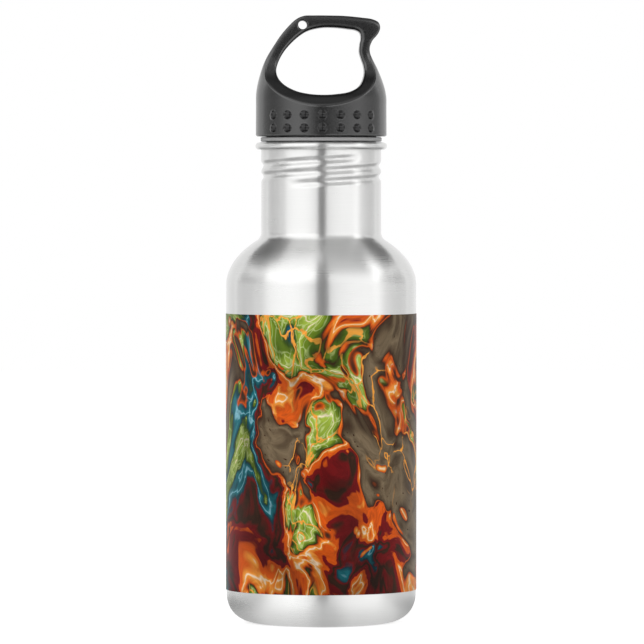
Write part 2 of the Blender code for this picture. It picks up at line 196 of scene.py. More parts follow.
def straight(radius, top, base, count):
    """Evenly spaced points down a straight wall, with both its ends."""
    return np.stack([np.full(count, radius), np.linspace(top, base, count)], 1)


def shell_face():
    """Outer face of the sheet from the curl's free edge down to the ledge that carries the base."""
    curl_centre = (NECK_RADIUS + CURL_RADIUS, MOUTH_HEIGHT - WALL - CURL_RADIUS)
    curl = arc(curl_centre, CURL_RADIUS, np.pi - CURL_TURN, CURL_TURN, CURL_STEPS)
    thread_low = THREAD_TOP - THREAD_LEAD * THREAD_TURNS - THREAD_HALF_WIDTH
    neck = straight(NECK_RADIUS, THREAD_TOP + THREAD_HALF_WIDTH, thread_low, THREAD_ROWS)
    shoulder = shoulder_path()
    neck_low = straight(NECK_RADIUS, thread_low, shoulder[0, 1], 6)[1:-1]
    wall = straight(BODY_RADIUS, BODY_HEIGHT, CORNER_HEIGHT, 10)[1:-1]
    t = np.linspace(0, np.pi / 2, CORNER_STEPS)
    reach = np.maximum(np.cos(t), 0) ** (2 / CORNER_POWER)
    drop = np.sin(t) ** (2 / CORNER_POWER)
    corner_radius = FOOT_RADIUS + (BODY_RADIUS - FOOT_RADIUS) * reach
    corner = np.stack([corner_radius, CORNER_HEIGHT * (1 - drop)], 1)
    inner = FOOT_RADIUS - FOOT_WIDTH
    foot = arc((inner + FOOT_ROUND, FOOT_ROUND), FOOT_ROUND, -np.pi / 2, -np.pi / 2, BEND_STEPS)
    bend_centre = (inner - FOOT_ROUND, RECESS_HEIGHT - FOOT_ROUND)
    bend = arc(bend_centre, FOOT_ROUND, 0, np.pi / 2, BEND_STEPS)
    ledge = np.array([[inner - LEDGE_WIDTH, RECESS_HEIGHT]])
    return np.vstack([curl, neck, neck_low, shoulder, wall, corner, foot, bend, ledge])


def feed(tree, node, inputs):
    """Give a node's inputs plain values or other nodes' outputs."""
    for key, value in inputs.items():
        if isinstance(value, bpy.types.NodeSocket):
            tree.links.new(value, node.inputs[key])
        else:
            node.inputs[key].default_value = value


def add_node(tree, kind, inputs=None, **settings):
    """Add a shader node, with its settings made first and its inputs fed after."""
    made = tree.nodes.new("ShaderNode" + kind)
    for key, value in settings.items():
        setattr(made, key, value)
    feed(tree, made, inputs or {})
    return made


def maths(tree, operation, *values):
    """One operation on plain numbers or other nodes' outputs."""
    return add_node(tree, "Math", dict(enumerate(values)), operation=operation).outputs[0]


def noise(tree, place, scale, detail, roughness=0.5, **settings):
    """A noise's value at a place."""
    inputs = {"Vector": place, "Scale": scale, "Detail": detail, "Roughness": roughness}
    return add_node(tree, "TexNoise", inputs, **settings).outputs["Fac"]


def spread(tree, value, old, new=(0.0, 1.0), **settings):
    """Carry a value from an old range to a new one, held at its ends."""
    inputs = {"Value": value, "From Min": old[0], "From Max": old[1], "To Min": new[0], "To Max": new[1]}
    return add_node(tree, "MapRange", inputs, **settings).outputs[0]


def ramp(tree, value, stops):
    """A colour ramp's colour at a value; its stops are (position, grey or colour)."""
    made = add_node(tree, "ValToRGB", {"Fac": value})
    elements = made.color_ramp.elements
    elements.remove(elements[-1])
    for index, (position, colour) in enumerate(stops):
        stop = elements[0] if index == 0 else elements.new(position)
        stop.position = position
        stop.color = (*colour, 1) if isinstance(colour, tuple) else (colour, colour, colour, 1)
    return made.outputs[0]


def start_material(name):
    """A material with only a Principled shader, and the output of its object coordinates."""
    made = bpy.data.materials.new(name)
    made.use_nodes = True
    tree = made.node_tree
    shader = tree.nodes["Principled BSDF"]
    coordinates = add_node(tree, "TexCoord").outputs["Object"]
    return made, tree, shader, coordinates


def scaled(colour, share):
    """A colour with each of its parts times a share."""
    return tuple(share * part for part in colour)


def brushed_steel(name, roughness_low, roughness_high):
    """Steel brushed round the bottle: noise drawn out along level circles roughens and scratches it."""
    made, tree, shader, coordinates = start_material(name)
    stretched = add_node(tree, "Mapping", {"Vector": coordinates, "Scale": (1, 1, BRUSH_STRETCH)})
    fine = noise(tree, stretched.outputs[0], scale=55, detail=5, roughness=0.65)
    both = maths(tree, "ADD", fine, noise(tree, coordinates, scale=35, detail=2))
    scratch = add_node(tree, "Bump", {"Height": fine, "Strength": 0.026, "Distance": 0.02 * MM})
    tangent = add_node(tree, "Tangent", direction_type="RADIAL", axis="Z")
    shades = [(0.3, scaled(STEEL_COLOUR, 0.98)), (0.7, scaled(STEEL_COLOUR, 1.02))]
    feed(tree, shader, {
        "Base Color": ramp(tree, fine, shades),
        "Roughness": spread(tree, both, (0.75, 1.25), (roughness_low, roughness_high)),
        "Normal": scratch.outputs[0],
        "Tangent": tangent.outputs[0],
        "Metallic": 1,
        "Anisotropic": 0.94,
        "Anisotropic Rotation": 0.25,
    })
    return made


shell = turned_piece("steel_shell", sheet_outline(shell_face(), WALL), SHELL_COLUMNS, True, groove_depth)
shell.data.materials.append(brushed_steel("brushed_steel", 0.26, 0.33))
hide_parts("bottle_shell")
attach(shell, "bottle")

# Base plate
# A shallow domed disc of the same steel, pressed and welded on the ledge inside the foot.
# It closes the bottle, and its spun rings show only from below.

plate_low, plate_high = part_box("base_plate")
PLATE_WALL = 0.5 * MM
PLATE_DOME = 1.5 * MM
PLATE_LAP = 2.5 * MM
PLATE_STEPS = 24
PLATE_COLUMNS = 96


def plate_profile():
    """From the middle of the upper face out, round the rim and back: a flat rim, then a parabola's dome."""
    flat = plate_high[0] - PLATE_LAP
    radius = np.linspace(0, 1, PLATE_STEPS) * flat
    under = np.stack([radius, plate_low[2] + PLATE_DOME * (1 - (radius / flat) ** 2)], 1)
    rim_centre = (plate_high[0] - PLATE_WALL / 2, plate_low[2] + PLATE_WALL / 2)
    rim = arc(rim_centre, PLATE_WALL / 2, np.pi / 2, -np.pi, 8)
    over = under + [0, PLATE_WALL]
    return np.vstack([over, rim, under[::-1]])


plate = turned_piece("steel_base", plate_profile(), PLATE_COLUMNS, False)
plate.data.materials.append(brushed_steel("spun_steel", 0.3, 0.4))
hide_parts("base_plate")
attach(plate, "bottle")

# Printed film
# A glossy film bonded round the wall, printed all round with a poured-paint design of
# swirls, cells and fine veins. The design is generic and runs on without a seam.

print_low, print_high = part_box("print_wrap")
FILM_BACK = BODY_RADIUS + 0.01 * MM
FILM_FACE = BODY_RADIUS + 0.16 * MM
FILM_EDGE = 0.06 * MM
FILM_ROWS = 40
FILM_COLUMNS = 192
PAINT_BANDS = 3.9
TEAL = (0.01, 0.15, 0.18)
DEEP_TEAL = (0.004, 0.035, 0.05)
PALE_BLUE = (0.22, 0.46, 0.55)
ORANGE = (0.6, 0.085, 0.004)
AMBER = (0.75, 0.3, 0.04)
CREAM = (0.8, 0.68, 0.5)
WHITE = (0.85, 0.83, 0.78)
PALE_LIME = (0.52, 0.6, 0.25)
LIME = (0.3, 0.4, 0.05)
KIWI = (0.14, 0.22, 0.015)
MOSS = (0.04, 0.075, 0.006)
PALE_CLAY = (0.165, 0.12, 0.07)
CLAY = (0.075, 0.05, 0.028)
UMBER = (0.035, 0.014, 0.007)
MAROON = (0.15, 0.005, 0.006)


def film_profile():
    """A thin band's outline with its two outer edges rounded."""
    top, base = print_high[2], print_low[2]
    upper = arc((FILM_FACE - FILM_EDGE, top - FILM_EDGE), FILM_EDGE, np.pi / 2, -np.pi / 2, 4)
    lower = arc((FILM_FACE - FILM_EDGE, base + FILM_EDGE), FILM_EDGE, 0, -np.pi / 2, 4)
    face = straight(FILM_FACE, top - FILM_EDGE, base + FILM_EDGE, FILM_ROWS)[1:-1]
    back = np.array([[FILM_BACK, base], [FILM_BACK, top]])
    return np.vstack([upper, face, lower, back])


def warp(tree, place, scale, strength):
    """Move a place by a noise's colour, measured from its middle, times the strength."""
    colour = add_node(tree, "TexNoise", {"Vector": place, "Scale": scale, "Detail": 2}).outputs["Color"]
    centred = add_node(tree, "VectorMath", {0: colour, 1: (0.5, 0.5, 0.5)}, operation="SUBTRACT")
    push = add_node(tree, "VectorMath", {0: centred.outputs[0], "Scale": strength}, operation="SCALE")
    return add_node(tree, "VectorMath", {0: place, 1: push.outputs[0]}, operation="ADD").outputs[0]


def mix_colour(tree, share, first, second, blend="MIX"):
    """Blend two colours by a share; each may be a plain colour or another node's output."""
    mixer = add_node(tree, "Mix", {"Factor": share}, data_type="RGBA", blend_type=blend)
    for socket, colour in ((mixer.inputs[6], first), (mixer.inputs[7], second)):
        if isinstance(colour, tuple):
            socket.default_value = (*colour, 1)
        else:
            tree.links.new(colour, socket)
    return mixer.outputs[2]


def threshold(tree, value, low, high):
    """0 below low and 1 above high, smooth between."""
    return spread(tree, value, (low, high), interpolation_type="SMOOTHSTEP")


def cells(tree, place, scale, feature="F1"):
    """The outputs of a pattern of cells round scattered points."""
    return add_node(tree, "TexVoronoi", {"Vector": place, "Scale": scale}, feature=feature).outputs


def poured_paint():
    """Thin bands of every paint, laid by a folded noise, with clay pools, laced cells, drops and glints."""
    made, tree, shader, coordinates = start_material("poured_paint")
    turned = {"Vector": coordinates, "Rotation": (0.5, 0.35, 0.2), "Scale": (35, 35, 26)}
    folded = warp(tree, add_node(tree, "Mapping", turned).outputs[0], scale=0.55, strength=2.4)
    curled = warp(tree, folded, scale=1.5, strength=1.0)
    ragged = warp(tree, curled, scale=6.0, strength=0.16)

    flow = noise(tree, ragged, scale=0.5, detail=3.5)
    phase = maths(tree, "FRACT", maths(tree, "MULTIPLY", flow, PAINT_BANDS))
    paint = ramp(tree, phase, [
        (0.0, UMBER), (0.04, MAROON), (0.09, MAROON), (0.11, ORANGE), (0.17, ORANGE), (0.21, AMBER),
        (0.222, CREAM), (0.235, AMBER), (0.28, ORANGE), (0.305, UMBER), (0.325, MOSS), (0.39, KIWI),
        (0.47, LIME), (0.485, CREAM), (0.5, LIME), (0.59, KIWI), (0.655, MOSS), (0.685, DEEP_TEAL),
        (0.76, TEAL), (0.785, PALE_BLUE), (0.8, TEAL), (0.87, DEEP_TEAL), (0.9, MAROON), (0.96, UMBER),
    ])

    vein = threshold(tree, cells(tree, ragged, 8.0, "DISTANCE_TO_EDGE")["Distance"], 0.09, 0.02)
    green = ramp(tree, phase, [(0.33, 0.0), (0.38, 0.55), (0.6, 0.55), (0.65, 0.0)])
    paint = mix_colour(tree, maths(tree, "MULTIPLY", vein, green), paint, PALE_LIME)

    depth = noise(tree, curled, scale=0.8, detail=3)
    pool_edge = ramp(tree, depth, [(0.56, 0.0), (0.57, 1.0)])
    pool = ramp(tree, depth, [
        (0.56, UMBER), (0.57, ORANGE), (0.58, UMBER), (0.605, CLAY), (0.65, PALE_CLAY), (0.7, CLAY),
    ])
    speck = threshold(tree, cells(tree, curled, 9.0)["Distance"], 0.16, 0.1)
    paint = mix_colour(tree, pool_edge, paint, mix_colour(tree, speck, pool, UMBER))

    lace = threshold(tree, cells(tree, ragged, 2.4, "DISTANCE_TO_EDGE")["Distance"], 0.035, 0.02)
    lace = maths(tree, "MULTIPLY", lace, threshold(tree, flow, 0.58, 0.61))
    paint = mix_colour(tree, lace, paint, AMBER)

    drops = cells(tree, curled, 3.1)
    size = add_node(tree, "SeparateXYZ", {"Vector": drops["Color"]}).outputs["X"]
    inside = maths(tree, "SUBTRACT", spread(tree, size, (0.6, 1.0), (0.0, 0.3)), drops["Distance"])
    bead = ramp(tree, inside, [(0.0, MAROON), (0.05, ORANGE), (0.15, AMBER), (0.25, CREAM)])
    paint = mix_colour(tree, threshold(tree, inside, 0.0, 0.02), paint, bead)

    ridge = noise(tree, ragged, scale=1.7, detail=4, roughness=0.6, noise_type="RIDGED_MULTIFRACTAL")
    paint = mix_colour(tree, threshold(tree, ridge, 1.1, 1.5), paint, WHITE)

    deep = noise(tree, folded, scale=0.9, detail=2)
    fibre = noise(tree, ragged, scale=11.0, detail=5, roughness=0.7)
    shade = ramp(tree, deep, [(0.36, 0.42), (0.52, 1.0), (0.65, 1.12)])
    texture = ramp(tree, fibre, [(0.3, 0.62), (0.5, 0.95), (0.7, 1.2)])
    paint = mix_colour(tree, 1.0, paint, shade, "MULTIPLY")
    paint = mix_colour(tree, 1.0, paint, texture, "MULTIPLY")
    feed(tree, shader, {"Base Color": paint, "Roughness": 0.35, "Specular IOR Level": 0.06})
    return made


film = turned_piece("printed_film", film_profile(), FILM_COLUMNS, True)
film.data.materials.append(poured_paint())
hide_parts("print_wrap")
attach(film, "bottle")

# Gasket
# A moulded ring of grey silicone, pushed up the plug against its flange. The lip presses into it,
# and its outer edge shows as a soft grey band between the steel and the cap.

gasket_low, gasket_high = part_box("gasket")
GASKET_BORE = 20.5 * MM
GASKET_ROUND = 0.5 * MM
GASKET_COLUMNS = 160
SILICONE_COLOUR = (0.3, 0.3, 0.3)


def round_box(inner, outer, base, top, radius, steps=8):
    """A rectangle's outline with its two outer corners rounded, running down its outer side."""
    upper = arc((outer - radius, top - radius), radius, np.pi / 2, -np.pi / 2, steps)
    lower = arc((outer - radius, base + radius), radius, 0, -np.pi / 2, steps)
    return np.vstack([upper, lower, [[inner, base], [inner, top]]])


def grained(name, colour, roughness, grain_scale, grain_depth, lighter, shine=0.5):
    """A moulded surface: one noise for its fine grain, and a broader one that shifts its colour."""
    made, tree, shader, coordinates = start_material(name)
    grain = noise(tree, coordinates, scale=grain_scale, detail=4, roughness=0.6)
    cloud = noise(tree, coordinates, scale=120, detail=3)
    bump = add_node(tree, "Bump", {"Height": grain, "Strength": 0.35, "Distance": grain_depth})
    feed(tree, shader, {
        "Base Color": ramp(tree, cloud, [(0.35, colour), (0.65, scaled(colour, lighter))]),
        "Roughness": spread(tree, grain, (0.3, 0.7), (roughness - 0.04, roughness + 0.05)),
        "Normal": bump.outputs[0],
        "Specular IOR Level": shine,
    })
    return made


gasket_profile = round_box(GASKET_BORE, gasket_high[0], gasket_low[2], gasket_high[2], GASKET_ROUND)
gasket = turned_piece("silicone_gasket", gasket_profile, GASKET_COLUMNS, True)
gasket.data.materials.append(grained(
    "grey_silicone", SILICONE_COLOUR, roughness=0.5, grain_scale=3000, grain_depth=0.02 * MM, lighter=1.08,
))
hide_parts("gasket")
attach(gasket, "gasket")

# Cap plug
# The cap's moulded insert: a hollow barrel with two thread ridges that screw into the neck,
# and a flange that seats in the skirt. It shows when the cap is off.

plug_low, plug_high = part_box("cap_plug")
FLANGE_HEIGHT = 2.2 * MM
PLUG_RADIUS = 20.2 * MM
PLUG_WALL = 2.0 * MM
PLUG_ROUND = 1.5 * MM
PLUG_EDGE = 0.3 * MM
DISH_WIDTH = 5 * MM
DISH_SLOPE = 1 * MM
BARREL_ROWS = 110
PLUG_COLUMNS = 220
PLUG_TURNS = 0.9
RIDGE_RADIUS = 21.2 * MM
RIDGE_ROOT_WIDTH = 2.4 * MM
RIDGE_CREST_WIDTH = 1.0 * MM
PLASTIC_COLOUR = (0.004, 0.004, 0.0042)


def ridge_rise(angle, height):
    """Rise of the plug's ridges, as a negative press: a trapezoid on a helix midway between the grooves."""
    rise = np.zeros(angle.shape)
    centre = THREAD_TOP - THREAD_LEAD / THREAD_STARTS / 2
    flank = (RIDGE_ROOT_WIDTH - RIDGE_CREST_WIDTH) / 2
    for start in range(THREAD_STARTS):
        turn = (angle - THREAD_END) / (2 * np.pi) - start / THREAD_STARTS
        turn = turn % 1 - 1
        offset = np.abs(height - centre - THREAD_LEAD * turn)
        shape = smooth_step((RIDGE_ROOT_WIDTH / 2 - offset) / flank)
        fade = smooth_step(np.minimum(-turn, PLUG_TURNS + turn) / THREAD_FADE_TURNS)
        rise = np.maximum(rise, (RIDGE_RADIUS - PLUG_RADIUS) * shape * fade)
    return -rise


def plug_profile():
    """From the middle of the cup's floor up its wall, over the flange, down the barrel and in below."""
    base, top = plug_low[2], plug_high[2]
    flange_base = top - FLANGE_HEIGHT
    inside = PLUG_RADIUS - PLUG_WALL
    floor = base + PLUG_WALL
    cup = [[0, floor], [inside, floor], [inside, top]]
    rim = round_box(inside, plug_high[0], flange_base, top, PLUG_EDGE, 4)[:-2]
    barrel = straight(PLUG_RADIUS, flange_base - PLUG_EDGE, base + PLUG_ROUND, BARREL_ROWS)
    root_centre = (PLUG_RADIUS + PLUG_EDGE, flange_base - PLUG_EDGE)
    root = arc(root_centre, PLUG_EDGE, np.pi / 2, np.pi / 2, 4)
    bottom = arc((PLUG_RADIUS - PLUG_ROUND, base + PLUG_ROUND), PLUG_ROUND, 0, -np.pi / 2, 8)
    dish_radius = PLUG_RADIUS - DISH_WIDTH
    dish = [[dish_radius + DISH_SLOPE, base], [dish_radius, base + PLUG_EDGE], [0, base + PLUG_EDGE]]
    return np.vstack([cup, rim, root, barrel[1:], bottom[1:], dish])


plug = turned_piece("threaded_plug", plug_profile(), PLUG_COLUMNS, False, ridge_rise)
plug.data.materials.append(grained(
    "plug_plastic", PLASTIC_COLOUR, roughness=0.35, grain_scale=2500, grain_depth=0.015 * MM, lighter=1.1,
    shine=0.9,
))
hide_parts("cap_plug")
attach(plug, "cap")

# Cap shell
# A dark moulded cap: a round skirt with two patches of grip nubs, scooped front and back up to a
# flat carrying loop, with a finger hole, a beak to catch on a hook, and a hole for a lanyard.

cap_low, cap_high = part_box("cap_shell")
CAP_BASE = cap_low[2]
CAP_HEIGHT = cap_high[2] - cap_low[2]
SKIRT_RADIUS = cap_high[0]
CAP_RADIUS = SKIRT_RADIUS - 0.25 * MM
SKIRT_TAPER = 0.06 * MM
SKIRT_HEIGHT = 11.3 * MM
SKIRT_ROUND = 0.5 * MM
EYE = np.array([-0.5 * MM, CAP_BASE + 26.5 * MM])
EDGE_DEPTH = 0.75
LOOP_CROWN = 0.2 * MM
RIM_SOFTNESS = 1.0 * MM
LOOP_HALF = 5.96 * MM
SHEET_ROWS = (28, 42)
BOTTOM_RAYS = 170
UPPER_RAYS = (90, 70, 80)
TOP_BEARINGS = (0.7, 2.4)
WALL_ROWS = 9
SKIRT_POINTS = 60
BOTTOM_POINTS = 398
RIM_SAMPLES = 400
NEARBY = 0.01
ROUND_UP_TO = CAP_BASE + 19.0 * MM
FLAT_FROM = CAP_BASE + 33.0 * MM
NUB_RADIUS = 1.7 * MM
NUB_HEIGHT = 0.75 * MM
NUB_COLUMNS = 7
NUB_PITCH = math.radians(16)
NUB_ROWS = (2.9 * MM, 7.7 * MM)
BALL_ROWS = 18
BALL_COLUMNS = 32
LANYARD_RADIUS = 1.65 * MM
LANYARD_PLACE = (-6.9 * MM, 3.45 * MM)
LANYARD_CHAMFER = 0.35 * MM
LANYARD_COLUMNS = 64
FLANGE_BORE = 22.4 * MM
CAVITY_RADIUS = 18.5 * MM
CAVITY_HEIGHT = 9.5 * MM
FLANGE_EDGE = 0.25 * MM
FLANGE_PLAY = 0.3 * MM
SHARP_ANGLE = math.radians(50)

# Outlines as shares of CAP_RADIUS and CAP_HEIGHT, clockwise from the left side of the skirt's top
LOOP_SHARES = (
    (-1.008, 0.2545), (-1.007, 0.34), (-0.98, 0.44), (-0.873, 0.62), (-0.718, 0.762),
    (-0.616, 0.842), (-0.5, 0.914), (-0.39, 0.968), (-0.27, 0.996), (-0.13, 0.9993),
    (0.08, 0.9993), (0.35, 0.996), (0.62, 0.982), (0.79, 0.968), (0.885, 0.94),
    (0.905, 0.89), (0.865, 0.842), (0.79, 0.795), (0.747, 0.74), (0.75, 0.69),
    (0.79, 0.638), (0.86, 0.566), (0.93, 0.48), (0.98, 0.4), (1.007, 0.32),
    (1.008, 0.2545),
)
HOLE_SHARES = (
    (-0.697, 0.54), (-0.67, 0.605), (-0.59, 0.69), (-0.48, 0.763), (-0.33, 0.835),
    (-0.2, 0.875), (0.0, 0.899), (0.2, 0.9), (0.4, 0.889), (0.535, 0.877),
    (0.592, 0.856), (0.608, 0.815), (0.59, 0.757), (0.583, 0.7), (0.607, 0.65),
    (0.645, 0.59), (0.66, 0.535), (0.64, 0.475), (0.58, 0.415), (0.43, 0.366),
    (0.2, 0.344), (0.0, 0.339), (-0.2, 0.347), (-0.4, 0.372), (-0.58, 0.425),
    (-0.67, 0.483),
)
# Bearings seen from the eye, in degrees from +X, and how wide the loop's outer and inner edges are rounded
EDGE_WIDTHS = ((-90, 0.8), (-20, 0.5), (25, 0.45), (36, 1.2), (60, 1.3), (105, 0.6), (190, 0.5), (270, 0.8))
HOLE_WIDTHS = (
    (-90, 1.1), (-12, 1.1), (8, 1.2), (30, 1.5), (60, 1.7), (125, 1.4), (160, 1.1), (200, 1.1), (270, 1.1),
)
# The scoop seen from the side, as shares of depth and height, from below the rim up to the flat face
SCOOP_SHARES = (
    (1.05, 0.2355), (1.008, 0.2525), (0.944, 0.277), (0.84, 0.32), (0.73, 0.36),
    (0.62, 0.403), (0.52, 0.444), (0.42, 0.486), (0.348, 0.53), (0.295, 0.585),
    (0.268, 0.645), (0.255, 0.71), (0.25, 0.79), (0.25, 1.05),
)


def through(shares, closed, steps=24):
    """A smooth curve through points: cubic segments whose slopes join each point's two neighbours."""
    knots = np.array(shares) * [CAP_RADIUS, CAP_HEIGHT] + [0, CAP_BASE]
    if closed:
        before, after, following = (np.roll(knots, k, axis=0) for k in (1, -1, -2))
        here = knots
    else:
        padded = np.vstack([2 * knots[0] - knots[1], knots, 2 * knots[-1] - knots[-2]])
        before, here, after, following = padded[:-3], padded[1:-2], padded[2:-1], padded[3:]
    span = np.sqrt(np.linalg.norm(after - here, axis=1))[:, None]
    span_before = np.sqrt(np.linalg.norm(here - before, axis=1))[:, None]
    span_after = np.sqrt(np.linalg.norm(following - after, axis=1))[:, None]
    here_slope = (here - before) / span_before - (after - before) / (span_before + span)
    here_slope = here_slope + (after - here) / span
    after_slope = (after - here) / span - (following - here) / (span + span_after)
    after_slope = after_slope + (following - after) / span_after
    start, end = here_slope * span, after_slope * span
    t = np.linspace(0, 1, steps, endpoint=False)[None, :, None]
    here, after, start, end = (part[:, None, :] for part in (here, after, start, end))
    curve = (
        here * (2 * t**3 - 3 * t**2 + 1)
        + start * (t**3 - 2 * t**2 + t)
        + after * (3 * t**2 - 2 * t**3)
        + end * (t**3 - t**2)
    ).reshape(-1, 2)
    return curve if closed else np.vstack([curve, knots[-1:]])


def skirt_width(height):
    """Half the cap's width over the skirt: a slight taper, with a quarter circle at the bottom edge."""
    above = height - CAP_BASE
    taper = SKIRT_RADIUS - SKIRT_TAPER * np.clip(above / SKIRT_HEIGHT, 0, 1)
    short = SKIRT_ROUND - np.clip(above, 0, SKIRT_ROUND)
    return taper - SKIRT_ROUND + np.sqrt(SKIRT_ROUND**2 - short**2)


loop_curve = through(LOOP_SHARES, False)
hole_curve = through(HOLE_SHARES, True)
scoop_curve = through(SCOOP_SHARES, False)
skirt_top = loop_curve[0, 1]
skirt_rows = CAP_BASE + (skirt_top - CAP_BASE) * np.linspace(0, 1, SKIRT_POINTS, endpoint=False) ** 2
skirt_side = np.stack([skirt_width(skirt_rows), skirt_rows], 1)
left_side = np.vstack([skirt_side * [-1, 1], loop_curve[: len(loop_curve) // 2]])
right_side = np.vstack([skirt_side, loop_curve[len(loop_curve) // 2 :][::-1]])
bottom_x = np.linspace(skirt_side[0, 0], -skirt_side[0, 0], BOTTOM_POINTS + 2)[1:-1]
bottom_side = np.stack([bottom_x, np.full_like(bottom_x, CAP_BASE)], 1)
outline = np.vstack([skirt_side * [-1, 1], loop_curve, skirt_side[::-1], bottom_side])


def polar(curve, angle):
    """Distance from the eye to a curve at each angle, and how squarely a ray meets the curve there."""
    offset = curve - EYE
    found = np.arctan2(offset[:, 1], offset[:, 0])
    order = np.argsort(found)
    reach = np.linalg.norm(offset, axis=1)[order]
    angles = angle + np.array([[0], [NEARBY], [-NEARBY]])
    distance, ahead, behind = np.interp(angles, found[order], reach, period=2 * np.pi)
    return distance, distance / np.hypot(distance, (ahead - behind) / (2 * NEARBY))


def soft_minimum(first, second, softness):
    """The smaller of two values, with their crossing rounded over the given softness."""
    overlap = np.maximum(softness - np.abs(first - second), 0) / softness
    return np.minimum(first, second) - overlap**2 * softness / 4


def rounding(distance, width):
    """How far a quarter ellipse, that wide and a fixed share as deep, falls short this far from an edge."""
    short = 1 - np.clip(distance / width, 0, 1)
    return width * EDGE_DEPTH * (1 - np.sqrt(1 - short**2))


def widths_at(table, angle):
    """Read a table of (bearing in degrees, width in mm) at ray angles in radians."""
    bearing, width = np.array(table).T
    return np.interp((np.degrees(angle) + 90) % 360 - 90, bearing, width) * MM


def half_width(x, z):
    """Half the cap's width at a height, on the side that x is on."""
    left, right = (np.interp(z, side[:, 1], side[:, 0]) for side in (left_side, right_side))
    return np.where(x < 0, -left, right)


def round_depth(x, z):
    """Depth of the round body in front of the middle plane."""
    return np.sqrt(np.maximum(half_width(x, z) ** 2 - x**2, 0))


def scoop_depth(z):
    """Depth of the scoop's face in front of the middle plane: the same all across, so it only faces up."""
    return np.interp(z, scoop_curve[:, 1], scoop_curve[:, 0])


def half_thickness(angle, reach, edge, hole):
    """Half the cap's depth at a distance along each ray.

    Low down it is the round body's depth, cut by the scoop, with the rim between them rounded. High up
    it is the loop's face, which falls off a little towards its rounded outer edge. The two are blended
    by height, and the hole's edge is rounded all along.
    """
    x, z = EYE[0] + reach * np.cos(angle), EYE[1] + reach * np.sin(angle)
    low = soft_minimum(round_depth(x, z), scoop_depth(z), RIM_SOFTNESS)
    across = np.clip(2 * (reach - hole[0]) / (edge[0] - hole[0]) - 1, 0, 1)
    outer = rounding((edge[0] - reach) * edge[1], widths_at(EDGE_WIDTHS, angle))
    inner = rounding((reach - hole[0]) * hole[1], widths_at(HOLE_WIDTHS, angle))
    high = LOOP_HALF - LOOP_CROWN * across**2 - outer
    flat = smooth_step((z - ROUND_UP_TO) / (FLAT_FROM - ROUND_UP_TO))
    return np.maximum(low * (1 - flat) + high * flat - inner, 0)


def find_rim(angle, hole, edge):
    """Distance along each ray to the rim: the first of many samples where the scoop is in front."""
    reach = hole + (edge - hole) * np.linspace(0, 1, RIM_SAMPLES)[:, None]
    x, z = EYE[0] + reach * np.cos(angle), EYE[1] + reach * np.sin(angle)
    behind = round_depth(x, z) < scoop_depth(z)
    behind[-1] = True
    rim = np.take_along_axis(reach, behind.argmax(axis=0)[None, :], axis=0)[0]
    return np.clip(rim, hole + SKIRT_ROUND, edge - SKIRT_ROUND)


def cap_sheet(side, angle, rows):
    """One face of the cap, seen from the front or back: rays from the eye of the finger hole, edge to edge.

    Each ray runs in two stretches, to the rim and to the edge. In each the points crowd towards both
    ends, as the cosine of evenly spaced angles does.
    """
    hole = polar(hole_curve, angle)
    edge = polar(outline, angle)
    rim = find_rim(angle, hole[0], edge[0])
    reach = [hole[0][None, :]]
    for start, end, count in zip((hole[0], rim), (rim, edge[0]), rows):
        share = (1 - np.cos(np.linspace(0, np.pi, count + 1)[1:]))[:, None] / 2
        reach.append(start + (end - start) * share)
    reach = np.vstack(reach)
    x, z = EYE[0] + reach * np.cos(angle), EYE[1] + reach * np.sin(angle)
    return np.stack([x, side * half_thickness(angle, reach, edge, hole), z], 2)


def cap_angles():
    """Ray angles, closest together over the skirt, with one exactly at each of its bottom corners."""
    corner = np.array([skirt_side[0, 0], CAP_BASE]) - EYE
    right = math.atan2(corner[1], corner[0])
    left = math.atan2(corner[1], -corner[0] - 2 * EYE[0])
    ends = (left, right, *TOP_BEARINGS, left + 2 * np.pi)
    stretches = zip(ends, ends[1:], (BOTTOM_RAYS, *UPPER_RAYS))
    return np.concatenate([np.linspace(start, end, rays, endpoint=False) for start, end, rays in stretches])


